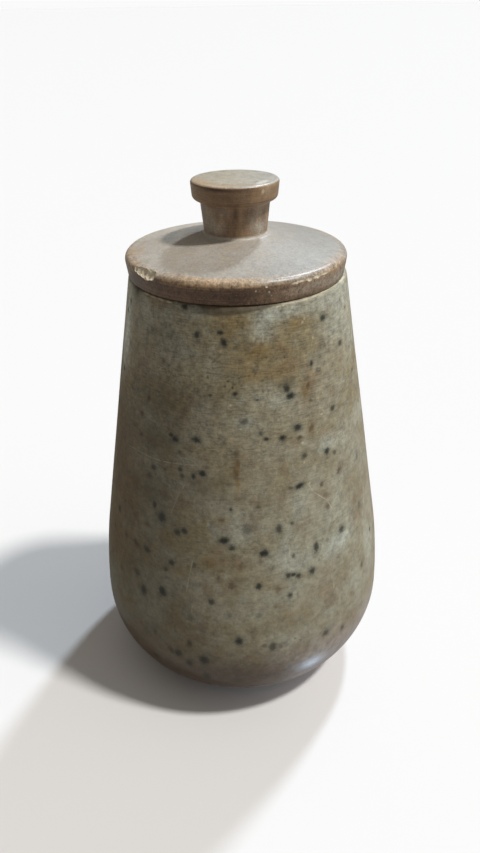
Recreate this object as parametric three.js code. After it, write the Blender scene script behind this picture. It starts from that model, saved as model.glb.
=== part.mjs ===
// Lidded stone pot: a tall jar on a rounded foot, and a lid whose knob is cut from the same stone as
// its disc. Both are turned shapes. Millimetres, +Z up, origin at the centre of the foot.

import * as THREE from "three";

// Jar, outside
const rimHeight = 158.8;
const rimRadius = 36.5;
const bellyRadius = 54.8;
const bellyHeight = 32; // where the jar is widest
const footRadius = 26.8; // the flat that the jar stands on
const flankBend = 15; // from the widest line up to the middle of the bend into the straight flank
const rimRound = 1.2;

// Jar, inside
const rimWall = 7;
const bellyWall = 9;
const floorThickness = 12;
const floorRadius = 20; // the flat part of the hollow's floor
const mouthDepth = 10; // the straight bore that the lid's register drops into
const mouthRound = 0.8;
const mouthFlare = 5; // setback of the soft corner under the straight bore

// Lid
const lidOverhang = 0.5;
const lidEdge = 7.2; // height of the lid's edge
const lidDome = 5.4; // how far the top rises from the edge to the neck
const domeBulge = 0.3; // the dome stands this much proud of a straight cone, half way up
const domeBend = 10; // setback of the soft bend there
const lidTaper = 1.1; // the edge is this much narrower at the rim than at the top
const lidTopRound = 1.9;
const lidUnderRound = 0.7;
const registerClearance = 0.6; // all round, between the register and the mouth
const registerDepth = 5;
const registerRound = 1;

// Knob, one piece with the lid
const knobHeight = 17.1; // from the top of the dome
const capRadius = 14.3;
const capTaper = 0.5; // the cap's side is this much narrower at its lower edge
const capBand = 5.6; // height of the cap's side
const capSlope = 1.3; // how far the underside falls from the cap's lower edge to the neck
const capTopRound = 0.8;
const capUnderRound = 0.8;
const neckTopRadius = 11.3;
const neckFootRadius = 10.3;
const neckTopFillet = 0.6;
const neckFootFillet = 1.2;

// How finely the curves are cut
const facets = 72; // round the axis
const arcStep = 0.5; // a rounded corner of this many radians and 1 mm setback gets one step

const mouthRadius = rimRadius - rimWall;
const lidRadius = rimRadius + lidOverhang;
const registerRadius = mouthRadius - registerClearance;

// A corner of an outline, rounded from `back` mm before it to `on` mm after it.
function corner(radius, height, back = 0, on = back) {
  return { at: new THREE.Vector2(radius, height), back, on };
}

// The points of a rounded corner. It is a conic arc, tangent to both sides: part of a circle where its
// two setbacks are alike, and a quarter of an ellipse at a square corner where they differ.
function arcPoints(last, { at, back, on }, next) {
  const toLast = last.at.clone().sub(at).normalize();
  const toNext = next.at.clone().sub(at).normalize();
  const start = at.clone().addScaledVector(toLast, back);
  const end = at.clone().addScaledVector(toNext, on);
  const turn = Math.PI - toLast.angleTo(toNext);
  const pull = Math.cos(turn / 2);
  const steps = Math.max(2, Math.round((turn * Math.sqrt((back + on) / 2)) / arcStep));
  const points = [];
  for (let i = 0; i <= steps; i++) {
    const t = i / steps;
    const a = (1 - t) ** 2;
    const b = 2 * pull * t * (1 - t);
    const c = t ** 2;
    const sum = start.clone().multiplyScalar(a).addScaledVector(at, b).addScaledVector(end, c);
    points.push(sum.divideScalar(a + b + c));
  }
  return points;
}

// An outline from the axis to the axis, with each point once where one arc runs into the next.
function outline(corners) {
  const points = corners.flatMap((c, i) =>
    c.back > 0 ? arcPoints(corners[i - 1], c, corners[i + 1]) : [c.at],
  );
  const apart = 0.01;
  return points.filter((p, i) => i === 0 || p.distanceTo(points[i - 1]) > apart);
}

// A turned solid round +Z. Its outline runs up the outside, so the faces point out.
function turned(name, corners, material) {
  const geometry = new THREE.LatheGeometry(outline(corners), facets);
  geometry.rotateX(Math.PI / 2);
  const mesh = new THREE.Mesh(geometry, material);
  mesh.name = name;
  return mesh;
}

// The jar: up the outside, over the rim, and down the hollow to the middle of its floor. The hollow
// follows the outside, widest at the same height and bent into its flank at the same place.
function potBody() {
  const bendHeight = bellyHeight + flankBend;
  const hollowRadius = bellyRadius - bellyWall;
  return turned(
    "pot_body",
    [
      corner(0, 0),
      corner(bellyRadius, 0, bellyRadius - footRadius, bellyHeight),
      corner(bellyRadius, bendHeight, flankBend),
      corner(rimRadius, rimHeight, rimRound),
      corner(mouthRadius, rimHeight, mouthRound),
      corner(mouthRadius, rimHeight - mouthDepth, mouthFlare),
      corner(hollowRadius, bendHeight, flankBend),
      corner(hollowRadius, floorThickness, bellyHeight - floorThickness, hollowRadius - floorRadius),
      corner(0, floorThickness),
    ],
    new THREE.MeshStandardMaterial({ color: 0x7f7c6c, roughness: 0.5, metalness: 0 }),
  );
}

// The lid, from its seat on the rim: the register below, the disc with its low dome, and the knob.
function lid() {
  const domeTop = lidEdge + lidDome;
  const capTop = domeTop + knobHeight;
  const capEdge = capTop - capBand;
  const mesh = turned(
    "lid",
    [
      corner(0, -registerDepth),
      corner(registerRadius, -registerDepth, registerRound),
      corner(registerRadius, 0),
      corner(lidRadius - lidTaper, 0, lidUnderRound),
      corner(lidRadius, lidEdge, lidTopRound),
      corner((lidRadius + neckFootRadius) / 2, lidEdge + lidDome / 2 + domeBulge, domeBend),
      corner(neckFootRadius, domeTop, neckFootFillet),
      corner(neckTopRadius, capEdge - capSlope, neckTopFillet),
      corner(capRadius - capTaper, capEdge, capUnderRound),
      corner(capRadius, capTop, capTopRound),
      corner(0, capTop),
    ],
    new THREE.MeshStandardMaterial({ color: 0x75604a, roughness: 0.45, metalness: 0 }),
  );
  mesh.position.z = rimHeight;
  return mesh;
}

const pot = new THREE.Group();
pot.add(potBody(), lid());

export default pot;
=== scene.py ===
# %% [markdown]
# A lidded stone pot. The real one is two pieces of soapstone, turned and rubbed smooth: a tall jar
# whose flanks lean in towards the rim, and a lid whose knob is cut from the same stone as its disc.
# The imported model gives the sizes. This lesson turns both pieces again with a finer mesh, chips and
# wears them, and gives them a stone that is all nodes and marks, with no pictures.

# %% Load the imported model
import math
import random

import bmesh
import bpy
import numpy as np
from mathutils import Matrix, Vector, noise
from mathutils.bvhtree import BVHTree


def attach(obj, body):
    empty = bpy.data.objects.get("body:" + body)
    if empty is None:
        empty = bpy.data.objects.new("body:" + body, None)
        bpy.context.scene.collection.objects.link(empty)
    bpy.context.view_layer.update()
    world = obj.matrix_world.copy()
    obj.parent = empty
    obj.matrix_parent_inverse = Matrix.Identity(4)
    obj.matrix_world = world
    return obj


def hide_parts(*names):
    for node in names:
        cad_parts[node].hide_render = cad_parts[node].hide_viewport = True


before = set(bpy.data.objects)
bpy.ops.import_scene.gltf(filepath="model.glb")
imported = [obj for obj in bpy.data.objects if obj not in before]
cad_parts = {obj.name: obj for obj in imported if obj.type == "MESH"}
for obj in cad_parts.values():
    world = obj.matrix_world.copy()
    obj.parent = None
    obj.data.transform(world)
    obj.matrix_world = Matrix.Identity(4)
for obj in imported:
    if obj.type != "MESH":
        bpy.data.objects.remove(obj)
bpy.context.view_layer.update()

MM = 0.001


def placed(name, data):
    """A new object in the scene."""
    thing = bpy.data.objects.new(name, data)
    bpy.context.scene.collection.objects.link(thing)
    return thing


# %% [markdown]
# The camera comes first, because many marks are placed through it. It was fitted to the outline of
# the real pot: it looks down at about 30 degrees, from a bit more than a forearm away. A wide lens so
# near makes the foot look narrow.

# %% Camera
PHOTO_WIDTH = 480
PHOTO_HEIGHT = 853
FOCAL_PIXELS = 750
SENSOR_MM = 36
TIPPED_UP = math.radians(60.47)  # from looking straight down
ROLL = math.radians(-0.88)
camera_place = Vector((0, -0.2465, 0.2372))
camera_turn = Matrix.Rotation(TIPPED_UP, 4, "X") @ Matrix.Rotation(ROLL, 4, "Z")

camera = placed("camera", bpy.data.cameras.new("camera"))
camera.data.lens = FOCAL_PIXELS * SENSOR_MM / PHOTO_HEIGHT
camera.data.sensor_width = SENSOR_MM
camera.matrix_world = Matrix.Translation(camera_place) @ camera_turn
bpy.context.scene.camera = camera
print(f"lens {camera.data.lens:.2f} mm, {camera_place.length * 1000:.0f} mm from the foot")


# %% Where the line of sight through a pixel meets a surface
def sight(x, y):
    """The direction in which the camera sees a pixel."""
    ray = Vector((x - PHOTO_WIDTH / 2, PHOTO_HEIGHT / 2 - y, -FOCAL_PIXELS))
    return (camera_turn.to_3x3() @ ray).normalized()


def seen_at(surface, x, y):
    """Place and outward normal on a surface that the camera sees at a pixel."""
    return surface.ray_cast(camera_place, sight(x, y))[:2]


# %% [markdown]
# Both pieces are turned. On a lathe a cutter follows an outline while the stone goes round, and the
# bmesh way is the same: a chain of edges, its corners rounded by a vertex bevel, spun about the axis.
# The foot's long curve is a quarter of an ellipse, so its bevel is stretched upwards afterwards. The
# chain is cut into short rows first, because the marks below are stored on the vertices. Spinning is
# slow, so only a quarter is spun, and copies of it make the round.


# %% An outline from corners, and a spin
def chain(shape, corners, row):
    """A chain of edges through corners (radius, height), in mm, with rows of at most a length.

    A rounded corner adds its setback and segments, and an elliptic one how far it is stretched up.
    """
    sharp = (0, 0, 1)
    corners = [corner + sharp[len(corner) - 2:] for corner in corners]
    verts = [shape.verts.new((c[0] * MM, 0, c[1] * MM)) for c in corners]
    for here, after in zip(verts, verts[1:]):
        shape.edges.new((here, after))
    for vert, (_, height, setback, segments, stretch) in zip(verts, corners):
        if not setback:
            continue
        arc = bmesh.ops.bevel(
            shape, geom=[vert], offset=setback * MM, offset_type="OFFSET", segments=segments,
            profile=0.5, affect="VERTICES", material=-1,
        )["verts"]
        if stretch != 1:
            pivot = Matrix.Translation((0, 0, -height * MM))
            bmesh.ops.scale(shape, vec=(1, 1, stretch), space=pivot, verts=arc)
    for edge in list(shape.edges):
        cuts = math.ceil(edge.calc_length() / (row * MM)) - 1
        if cuts > 0 and not edge.tag:
            bmesh.ops.subdivide_edges(shape, edges=[edge], cuts=cuts)
    for edge in shape.edges:
        edge.tag = True


def turn(shape, steps):
    """Spins the outline a quarter round, copies it three times and closes seams and poles."""
    bmesh.ops.remove_doubles(shape, verts=shape.verts, dist=0.01 * MM)
    bmesh.ops.spin(
        shape, geom=shape.verts[:] + shape.edges[:], cent=(0, 0, 0), axis=(0, 0, 1),
        angle=math.tau / 4, steps=steps // 4, use_merge=False, use_normal_flip=False,
        use_duplicate=False,
    )
    quarter = shape.verts[:] + shape.edges[:] + shape.faces[:]
    for turns in (1, 2, 3):
        copied = bmesh.ops.duplicate(shape, geom=quarter)["geom"]
        round_axis = Matrix.Rotation(turns * math.tau / 4, 3, "Z")
        moved = [part for part in copied if isinstance(part, bmesh.types.BMVert)]
        bmesh.ops.rotate(shape, cent=(0, 0, 0), matrix=round_axis, verts=moved)
    bmesh.ops.remove_doubles(shape, verts=shape.verts, dist=0.005 * MM)
    loose = [e for e in shape.edges if not e.link_faces]
    bmesh.ops.delete(shape, geom=loose, context="EDGES")
    bmesh.ops.recalc_face_normals(shape, faces=shape.faces)
    print("turned and closed:", all(edge.is_manifold for edge in shape.edges))


def finished(shape, name, body, node):
    """Makes the shape a piece that stands for a CAD node and moves with a body."""
    triangles = sum(len(face.verts) - 2 for face in shape.faces)
    mesh = bpy.data.meshes.new(name)
    shape.to_mesh(mesh)
    shape.free()
    mesh.shade_smooth()
    piece = placed(name, mesh)
    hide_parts(node)
    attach(piece, body)
    size = np.ptp(of_vertices(mesh, "co"), axis=0) / MM
    print(f"{name}: {len(mesh.vertices)} vertices, {triangles} triangles, {size.round(1)} mm")
    return piece


def of_vertices(mesh, what):
    """The places or normals of a mesh's vertices, one row each."""
    flat = np.empty(len(mesh.vertices) * 3)
    mesh.vertices.foreach_get(what, flat)
    return flat.reshape(-1, 3)


# %% [markdown]
# The jar. Its sizes repeat the CAD's: a flat foot, a quarter ellipse up to the widest line, one soft
# bend and a straight flank. The hollow follows the outside at 7 to 9 mm, with a straight bore at the
# mouth for the lid's register. Hand work shows in small things: the round is a little uneven, and the
# foot is 0.6 mm fuller on one side.

# %% Jar
RIM_HEIGHT = 158.8
RIM_RADIUS = 36.5
BELLY_RADIUS = 54.8
BELLY_HEIGHT = 32
FOOT_RADIUS = 26.8
FLANK_BEND = 15
RIM_ROUND = 1.2
MOUTH_RADIUS = 29.5
MOUTH_DEPTH = 10
MOUTH_FLARE = 5
HOLLOW_RADIUS = 45.8
FLOOR_HEIGHT = 12
FLOOR_RADIUS = 20
POT_STEPS = 320

foot_setback = BELLY_RADIUS - FOOT_RADIUS
floor_setback = HOLLOW_RADIUS - FLOOR_RADIUS
bend_height = BELLY_HEIGHT + FLANK_BEND
on_rim = MOUTH_RADIUS + 2  # where the fine outside meets the coarser hollow
pot_shape = bmesh.new()
chain(pot_shape, [
    (0, 0),
    (BELLY_RADIUS, 0, foot_setback, 42, BELLY_HEIGHT / foot_setback),
    (BELLY_RADIUS, bend_height, FLANK_BEND, 24),
    (RIM_RADIUS, RIM_HEIGHT, RIM_ROUND, 6),
    (on_rim, RIM_HEIGHT),
], row=1.15)
chain(pot_shape, [
    (on_rim, RIM_HEIGHT),
    (MOUTH_RADIUS, RIM_HEIGHT, 0.8, 4),
    (MOUTH_RADIUS, RIM_HEIGHT - MOUTH_DEPTH, MOUTH_FLARE, 8),
    (HOLLOW_RADIUS, bend_height, FLANK_BEND, 8),
    (HOLLOW_RADIUS, FLOOR_HEIGHT, floor_setback, 12, (BELLY_HEIGHT - FLOOR_HEIGHT) / floor_setback),
    (0, FLOOR_HEIGHT),
], row=5)
turn(pot_shape, POT_STEPS)


# %% Hand-made unevenness of the jar
def uneven(shape, depth, size, seed):
    """Moves vertices in and out along the radius by soft noise: depth and size in mm."""
    shift = Vector((seed, seed, seed))
    for vert in shape.verts:
        radius = math.hypot(vert.co.x, vert.co.y)
        if radius < MM:
            continue
        swell = noise.noise(vert.co / (size * MM) + shift) * depth * MM
        vert.co.x *= 1 + swell / radius
        vert.co.y *= 1 + swell / radius


FOOT_TRIM = 0.013  # the foot's right side is this share of its width further in,
TRIM_HEIGHT = 13 * MM  # most at this height
TRIM_REACH = 15 * MM  # and not at all this far from it
uneven(pot_shape, 0.18, 30, 3.1)
for vert in pot_shape.verts:
    low = max(0, 1 - abs(vert.co.z - TRIM_HEIGHT) / TRIM_REACH)
    vert.co.x -= FOOT_TRIM * max(0, vert.co.x) * low
pot_sight = BVHTree.FromBMesh(pot_shape)
pot = finished(pot_shape, "stone_pot_body", "pot", "pot_body")

# %% [markdown]
# Soapstone is full of dark flecks. A hundred dots worked out in nodes would be slow, so each vertex
# remembers where it is relative to its nearest fleck, in units of that fleck's own half-width and
# half-height. Between vertices this vector changes evenly, so the material can draw a crisp, small
# fleck wherever its length is under 1, on a mesh of 1 mm. Near flecks go on separate layers, because
# halfway between two of one layer the vector would pass through nought and draw a false one.


# %% Marks on vertices
def keep(mesh, name, vectors):
    """Keeps a vector for each vertex as an attribute."""
    made = mesh.attributes.new(name, "FLOAT_VECTOR", "POINT")
    made.data.foreach_set("vector", vectors.astype(np.float32).ravel())


def around(normal):
    """Two directions in the surface there: round the pot, and up it."""
    across = Vector((0, 0, 1)).cross(normal)
    across = across.normalized() if across.length > 0.01 else Vector((1, 0, 0))
    return across, normal.cross(across)


class Marks:
    """Layers of (along, up, strength) vectors, as attributes that a material reads."""

    REACH = 2.4  # a mark's strength is stored at least this many half-sizes out,
    CELL = 1.8  # and at least this many mm past its edge, more than one cell of the mesh
    DEPTH = 4  # mm that a mark reaches into the stone: less than the wall
    SAME_SIDE = 0.2  # least cosine between the mark's normal and a vertex's
    FAR = (9.0, 9.0, 0.0)  # a vertex with no mark near it

    def __init__(self, piece, name, layers):
        self.mesh = piece.data
        self.name = name
        self.points = of_vertices(self.mesh, "co")
        self.normals = of_vertices(self.mesh, "normal")
        self.layers = [np.full((len(self.points), 3), self.FAR) for _ in range(layers)]
        self.claimed = np.zeros((layers, len(self.points)), bool)
        self.counts = [0] * layers

    def add(self, place, normal, width, height, strength, tilt=0.0):
        """One mark, its half-width and half-height in mm, turned by tilt degrees."""
        along, up = around(normal)
        spin = Matrix.Rotation(math.radians(tilt), 3, normal)
        along, up = spin @ along, spin @ up
        reach_u, reach_v = (max(self.REACH * half, half + self.CELL) for half in (width, height))
        reach = max(reach_u, reach_v) + 2 * self.CELL
        place, normal, along, up = map(np.array, (place, normal, along, up))
        close = np.flatnonzero((np.abs(self.points - place) < reach * MM).all(axis=1))
        close = close[self.normals[close] @ normal > self.SAME_SIDE]
        offset = (self.points[close] - place) / MM
        shallow = np.abs(offset @ normal) < self.DEPTH
        close, offset = close[shallow], offset[shallow]
        u, v = offset @ along, offset @ up
        zone = (np.abs(u) < reach_u + self.CELL) & (np.abs(v) < reach_v + self.CELL)
        inside = (np.abs(u) < reach_u) & (np.abs(v) < reach_v)
        marked = np.stack([u / width, v / height, inside * strength], axis=1)[zone]
        for i, claimed in enumerate(self.claimed):
            if not claimed[close[zone]].any():
                claimed[close[zone]] = True
                self.layers[i][close[zone]] = marked
                self.counts[i] += 1
                return True
        return False

    def store(self):
        for i, layer in enumerate(self.layers):
            keep(self.mesh, f"{self.name}_{i}", layer)
        print(f"{self.name}: {self.counts} marks on {len(self.layers)} layers")


# %% [markdown]
# The flecks in front are read, each as a pixel, its width and height in pixels and how dark it
# is. Seen at a slant near the sides, a fleck is wider on the stone than it looks, so its width is
# divided by how squarely the surface faces the camera.

# %% Dark and brown flecks on the near side: x, y, width, height, strength, and any tilt
DARK = [
    (184.7, 307, 5, 5, 0.9, 30), (196.8, 334.8, 5, 6, 0.85), (220.4, 332.7, 6, 4, 0.95),
    (223.6, 342.5, 5.5, 8, 1, 28), (152.2, 329.7, 3, 6, 0.3), (170.7, 336.7, 6, 6, 0.25),
    (171.3, 434.9, 4, 4, 0.9), (175.1, 439.1, 6, 5, 1, -20), (196.2, 439.8, 8, 5, 0.95),
    (179.6, 452.1, 3, 3, 0.5), (153.5, 467.4, 4, 5, 0.7), (164.9, 469.3, 3, 3, 0.5),
    (180.2, 469.3, 4, 4, 0.75), (182.1, 475.7, 4.5, 4, 0.6), (193.4, 476.4, 4, 5, 0.9),
    (202.5, 473.8, 6, 6, 0.95, 15), (210.2, 395.4, 2.5, 3, 0.7), (235, 393.9, 4.5, 3.5, 0.9, 30),
    (228, 381.4, 2.6, 1.8, 0.8), (224.9, 386.5, 2.5, 2.5, 0.6), (232.5, 387.7, 2, 2.5, 0.7),
    (207.6, 377.2, 2, 1.6, 0.6), (244.8, 422, 7, 5, 0.6, 30), (322.7, 317.9, 5, 5.5, 0.9),
    (339.9, 342.5, 3.4, 5, 0.75), (311.1, 363.5, 3.4, 5, 0.9, -10), (284.5, 356.9, 2, 2.5, 0.5),
    (286.6, 389, 6, 8, 0.9, 10), (290.5, 395.8, 7.5, 6, 1), (332.5, 407.9, 4, 5, 0.8),
    (257.3, 400.2, 2.4, 2, 0.7), (263, 391.6, 1.8, 3, 0.4), (297.5, 427.5, 7, 6, 0.95),
    (282.8, 437.8, 6, 5, 1), (266.2, 439.1, 4.5, 3.2, 0.9, -20), (260.8, 434, 4, 3.2, 0.6, -20),
    (326.8, 451.1, 5, 6, 0.95, -15), (334.5, 452.1, 3.4, 4, 0.6), (304.2, 455.8, 5, 5, 0.75),
    (299.5, 486, 9, 4.6, 1, 18), (291, 488, 4, 3, 0.5), (258.3, 506.8, 5, 4, 0.4),
    (119.7, 508.1, 4, 5, 0.7), (154.6, 504.1, 4, 6, 0.8), (161.9, 516.8, 6.5, 9, 0.85),
    (230.7, 509.5, 3, 3, 0.75), (177.3, 532.2, 6, 6, 0.8), (184.1, 530.9, 5.5, 5.5, 0.85),
    (223.9, 540.6, 9, 6, 1, 14), (231.8, 548.3, 6, 5, 0.8), (234.6, 555.7, 4.5, 3.5, 0.35),
    (247.7, 529.6, 11, 9, 0.42), (279, 528.9, 5.5, 8, 0.75), (292.1, 523.1, 3, 3, 0.6),
    (341.3, 529.3, 5, 6, 0.8), (316.3, 547, 5, 9, 0.85), (263.9, 553.4, 8.5, 6.5, 1, 22),
    (293.4, 556.3, 3, 4, 0.6), (288.4, 575.6, 5, 5, 0.85, 20), (293.4, 574.6, 6, 3.4, 0.9),
    (298.4, 575.8, 5, 4.6, 0.85, -20), (312.3, 570.8, 5.5, 6, 0.85), (258.7, 586.5, 5.5, 5.5, 0.9),
    (290.1, 594.8, 4.2, 4.2, 0.75), (147.2, 549.6, 6, 5, 0.75), (171.3, 562.4, 5, 5, 0.8),
    (165.9, 569.1, 4, 4, 0.6), (137.2, 571.7, 7, 6, 0.5), (194.1, 565.7, 4, 5, 0.45),
    (162.6, 591.2, 7, 8, 0.95, 8), (143.9, 589.8, 6, 8, 0.8), (211.5, 601.9, 6, 5, 0.75),
    (239, 641.4, 7, 6, 0.95), (190, 618, 6, 6, 0.35), (229.6, 615.3, 5, 4, 0.3),
    (155.2, 631.4, 4, 4, 0.4), (259, 615.3, 5, 5, 0.35), (325.7, 632.7, 6, 5, 0.7, 10),
    (342.1, 627.3, 4, 5, 0.6), (273, 646.7, 7, 7, 0.7), (189.4, 643.4, 5, 5, 0.6),
    (171.5, 649.8, 5, 6, 0.6, 20), (178, 652.8, 7, 6, 0.8, -20), (204.1, 660.2, 9, 7, 0.8),
    (189.4, 662.9, 6, 5, 0.7), (206.8, 675.6, 7, 6, 0.6), (156.6, 655.5, 6, 5, 0.5),
    (239, 681, 9, 5, 0.3), (361.7, 564.4, 3, 5, 0.6), (359, 504.1, 4, 7, 0.4), (327, 539.6, 4, 4, 0.3),
    (137.6, 291.5, 3, 6, 0.6), (356.8, 456.6, 3, 6, 0.4), (136.2, 322.7, 4, 5, 0.25),
    (131.1, 343.8, 3, 5, 0.25),
]
BROWN = [
    (170.7, 301.9, 4, 3, 0.9), (163.7, 361, 4, 5, 0.8), (149, 398.6, 3.4, 6, 0.9),
    (142, 413.2, 4, 7, 0.8), (141.3, 434.3, 3.4, 3.4, 0.9), (132.4, 387.1, 4, 5, 0.5),
    (149, 475.1, 6, 5, 0.8), (308.3, 384.6, 3, 7, 0.8, -20), (296.2, 403, 4, 6, 0.5, -30),
    (310.6, 400.5, 3.4, 3.4, 0.7), (311.5, 427.9, 4.4, 8, 0.7, -30), (299.8, 437.5, 5, 3.4, 0.9),
    (352, 369.3, 3, 4, 0.9), (338.9, 470, 4, 7, 0.9, -35), (321.7, 484, 4, 5, 0.9, -20),
    (325, 494.7, 6, 6, 0.5), (327.7, 506.1, 5, 6, 0.7), (147.2, 524.2, 6, 5, 0.6),
    (135.8, 542.3, 7, 6, 0.8), (126.4, 534.2, 4, 7, 0.7), (218.2, 577.7, 4, 6, 0.6),
    (231.6, 585.8, 9, 8, 0.7), (240.3, 567, 5, 4, 0.4), (278.3, 589, 7, 6, 0.5), (281, 646, 5, 4, 0.5),
    (264.3, 645.4, 5, 3, 0.5), (328.7, 350.1, 5, 4, 0.5), (319.8, 356.5, 3, 4, 0.5),
    (221.6, 520.2, 8, 5, 0.6), (180.2, 417.7, 7, 3, 0.5), (337.7, 557, 4, 3, 0.4),
    (121.7, 567.7, 4, 5, 0.5), (115.7, 524.2, 3, 6, 0.5), (236.4, 454, 5, 10, 0.4),
    (238.2, 464, 5, 10, 0.55), (236.4, 474, 5, 12, 0.6),
]
FLECK_SWELL = 1.24  # the soft edge of a fleck was left out when it was read


# %% Laying flecks on the jar
LEAST_ACROSS = 0.35  # past this slant a mark isn't made wider any more,
LEAST_UP = 0.5  # nor taller


def facing(place, normal):
    """How squarely a surface faces the camera across the picture, from 0 to 1."""
    across, _ = around(normal)
    look = (place - camera_place).normalized()
    return max(LEAST_ACROSS, math.sqrt(max(0, 1 - across.dot(look) ** 2)))


def lay(marks, seen, surface, swell=1.0):
    """Casts marks that were read in pixels onto a surface. Gives how many found no free layer."""
    missed = 0
    straight = sight(PHOTO_WIDTH / 2, PHOTO_HEIGHT / 2)
    for x, y, width, height, strength, *tilt in seen:
        place, normal = seen_at(surface, x, y)
        _, up = around(normal)
        look = (place - camera_place).normalized()
        scale = (place - camera_place).dot(straight) / FOCAL_PIXELS / MM
        wide = width / 2 * scale / facing(place, normal)
        high = height / 2 * scale / max(LEAST_UP, math.sqrt(1 - up.dot(look) ** 2))
        missed += not marks.add(place, normal, wide * swell, high * swell, strength, *tilt)
    return missed


dark_marks = Marks(pot, "dark", 5)
brown_marks = Marks(pot, "brown", 3)
missed = lay(dark_marks, DARK, pot_sight, FLECK_SWELL) + lay(brown_marks, BROWN, pot_sight)
print(f"flecks read on the near side: {len(DARK)} dark, {len(BROWN)} brown, missed {missed}")


# %% [markdown]
# The sides and the back are a guess in the same hand: seeded flecks of the same sizes, as close
# together as in front.

# %% Flecks on the sides and the back
FAR_DARK = 190
FAR_BROWN = 60
TRIES = 6  # at most this many for each fleck, as some places are taken
NEAR_ANGLE = 66  # degrees either side of the front that the marks above cover
chance = random.Random(4)


def far_place(low, high):
    """A seeded (place, normal) on the sides or the back, between two heights in mm."""
    angle = math.radians(chance.uniform(NEAR_ANGLE, 360 - NEAR_ANGLE))
    out = Vector((math.sin(angle), -math.cos(angle), 0))
    start = out * 0.1 + Vector((0, 0, chance.uniform(low, high) * MM))
    return pot_sight.ray_cast(start, -out)[:2]


def scatter(marks, count, smallest, largest):
    """Adds seeded marks all round, apart from the near side."""
    made = 0
    for _ in range(count * TRIES):
        place, normal = far_place(3, RIM_HEIGHT - 4)
        size = smallest + (largest - smallest) * chance.random() ** 2
        wide = size * chance.uniform(0.75, 1.35)
        strength = chance.choice((0.35, 0.6, 0.8, 0.9, 1))
        tilt = chance.uniform(-40, 40)
        made += marks.add(place, normal, wide, size, strength, tilt)
        if made >= count:
            break
    return made


far_dark = scatter(dark_marks, FAR_DARK, 0.45, 1.6)
far_brown = scatter(brown_marks, FAR_BROWN, 0.6, 1.5)
print(f"far side: {far_dark} dark, {far_brown} brown")
dark_marks.store()
brown_marks.store()

# %% [markdown]
# Where the stone holds iron it has gone ochre, and elsewhere it is bluish. Two narrow pale clouds on
# the left outline are a painted sheen. These clouds are soft and several millimetres wide, so their
# amount is stored on the vertices as it is, one kind in each part of a vector. The material breaks
# their edges up with noise.

# %% Clouds of ochre, bluish grey with a painted sheen, and dark olive: x, y, width, height, amount
OCHRE = [
    (258, 351, 22, 14, 1), (241, 323, 16, 12, 0.75), (296, 323, 22, 12, 0.8), (277, 371, 30, 14, 0.5),
    (285, 345, 24, 16, 0.4), (305, 391, 10, 20, 0.8), (227, 340, 14, 26, 0.4), (250, 377, 18, 10, 0.6),
    (236, 457, 3, 8, 0.5), (238, 466, 3, 8, 0.7), (235.6, 473, 3.4, 10, 0.8), (238, 484, 3.4, 11, 0.8),
    (236.6, 495, 3, 9, 0.6), (247, 366, 30, 20, 0.35), (311, 430, 10, 12, 0.5), (222, 521, 12, 8, 0.5),
    (209.5, 563, 14, 12, 1), (180, 571, 12, 10, 0.7), (167, 538, 12, 10, 0.5), (121, 595, 12, 16, 0.6),
    (278, 589, 12, 9, 0.4), (315, 590, 24, 20, 0.3), (300, 615, 30, 20, 0.3), (355, 372, 6, 40, 0.3),
    (233, 411, 20, 10, 0.3), (265, 415, 30, 12, 0.2), (325, 495, 14, 22, 0.4), (240, 455, 70, 70, 0.35),
    (222, 318, 20, 16, 0.4), (338, 358, 22, 30, 0.4), (318, 388, 40, 50, 0.25),
]
# Two narrow clouds on the left outline, at x 126 and 129, are a painted sheen
BLUE_AND_SHEEN = [
    (245, 423, 14, 12, 0.9), (327, 443, 16, 16, 0.8), (195, 311, 18, 12, 0.6), (295, 309, 12, 10, 0.5),
    (292, 567, 20, 14, 0.25), (299, 507, 14, 22, 0.4), (342, 538, 18, 12, 0.6), (239, 531, 22, 34, 0.5),
    (190, 462, 34, 16, 0.4), (258, 615, 16, 16, 0.4), (172, 352, 30, 40, 0.25), (200, 440, 20, 12, 0.3),
    (355, 575, 14, 30, 0.4), (287, 540, 14, 30, 0.4), (190, 618, 16, 12, 0.4), (165, 590, 24, 24, 0.2),
    (275, 560, 40, 30, 0.4), (310, 556, 50, 34, 0.5), (340, 545, 30, 40, 0.45), (280, 640, 50, 26, 0.4),
    (342, 440, 14, 26, 0.5), (275, 314, 30, 14, 0.4), (300, 590, 60, 20, 0.2), (262, 330, 22, 22, 0.7),
    (322, 303, 36, 14, 0.6), (272, 313, 26, 12, 0.5), (150, 312, 20, 16, 0.4), (129, 312, 7, 56, 1),
    (126, 345, 6, 40, 1.2), (346, 312, 16, 50, 0.5), (368, 545, 12, 44, 0.6), (150, 345, 34, 40, 0.1),
    (272, 455, 30, 20, 0.35), (264, 424, 24, 20, 0.3), (300, 500, 30, 40, 0.2),
    (335, 500, 24, 60, 0.25), (280, 400, 26, 14, 0.4), (330, 330, 20, 30, 0.3),
]
OLIVE = [
    (148, 487, 36, 30, 0.45), (162, 517, 12, 14, 0.5), (223, 484, 16, 8, 0.5), (155, 440, 40, 22, 0.5),
    (137, 291, 8, 14, 0.8), (165, 400, 40, 40, 0.35), (192, 481, 14, 8, 0.5), (150, 631, 34, 26, 0.4),
    (285, 383, 16, 8, 0.7), (247, 345, 10, 20, 0.3), (208, 400, 26, 14, 0.3), (236, 500, 20, 10, 0.3),
    (205, 490, 24, 24, 0.35), (160, 335, 30, 30, 0.25),
]


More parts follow.
